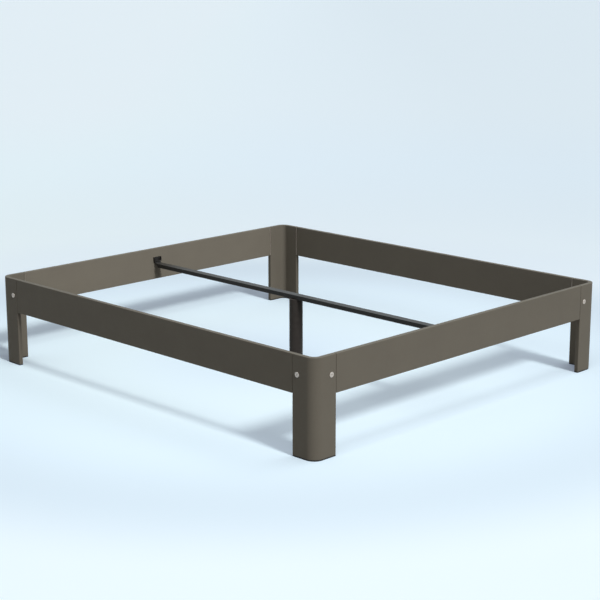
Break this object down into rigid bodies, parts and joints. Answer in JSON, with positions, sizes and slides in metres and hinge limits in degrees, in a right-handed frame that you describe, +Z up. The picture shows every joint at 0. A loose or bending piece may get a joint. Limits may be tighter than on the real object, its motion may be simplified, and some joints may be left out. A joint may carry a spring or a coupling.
{
  "type": "double bed frame",
  "caption": "Low rectangular double bed frame with flat board rails, bent corner legs, steel centre beam and middle support leg, with no headboard",
  "frame": {"origin": "on the floor, under the middle of the bed", "axes": "+Z up, X across the bed, Y along it with the front at -Y"},
  "size_m": [1.8846, 2.0846, 0.418],
  "materials": {
    "lacquered_board": "smooth satin lacquer, no grain showing",
    "black_steel": "satin powder coat",
    "bright_steel": "bright zinc-plated",
    "plain_steel": "zinc-plated",
    "black_plastic": "moulded, matt"
  },
  "bodies": {
    "bed_frame": {"leg_front_left": "lacquered_board", "leg_front_right": "lacquered_board", "leg_rear_right": "lacquered_board", "leg_rear_left": "lacquered_board", "front_rail": "lacquered_board", "right_rail": "lacquered_board", "rear_rail": "lacquered_board", "left_rail": "lacquered_board", "leg_pad_front_left": "black_plastic", "leg_pad_front_right": "black_plastic", "leg_pad_rear_right": "black_plastic", "leg_pad_rear_left": "black_plastic", "tongue_front_left_in_front_rail": "plain_steel", "tongue_front_left_in_left_rail": "plain_steel", "tongue_front_right_in_right_rail": "plain_steel", "tongue_front_right_in_front_rail": "plain_steel", "tongue_rear_right_in_rear_rail": "plain_steel", "tongue_rear_right_in_right_rail": "plain_steel", "tongue_rear_left_in_left_rail": "plain_steel", "tongue_rear_left_in_rear_rail": "plain_steel", "bolt_front_left_by_front_rail": "bright_steel", "bolt_front_left_by_left_rail": "bright_steel", "bolt_front_right_by_right_rail": "bright_steel", "bolt_front_right_by_front_rail": "bright_steel", "bolt_rear_right_by_rear_rail": "bright_steel", "bolt_rear_right_by_right_rail": "bright_steel", "bolt_rear_left_by_left_rail": "bright_steel", "bolt_rear_left_by_rear_rail": "bright_steel", "centre_beam": "black_steel", "beam_hanger_front": "black_steel", "beam_hanger_rear": "black_steel", "hanger_screw_front_1": "black_steel", "hanger_screw_front_2": "black_steel", "hanger_screw_rear_1": "black_steel", "hanger_screw_rear_2": "black_steel", "middle_leg_tube": "black_steel", "middle_leg_stud": "plain_steel", "beam_nut": "plain_steel", "middle_leg_plug": "black_plastic"},
    "screw_foot": {"levelling_foot": "black_plastic", "foot_spindle": "plain_steel"}
  },
  "joints": [
    {"name": "foot_height", "type": "slide", "parent": "bed_frame", "child": "screw_foot", "axis": [0, 0, 1], "range_m": [-0.012, 0.012]}
  ]
}
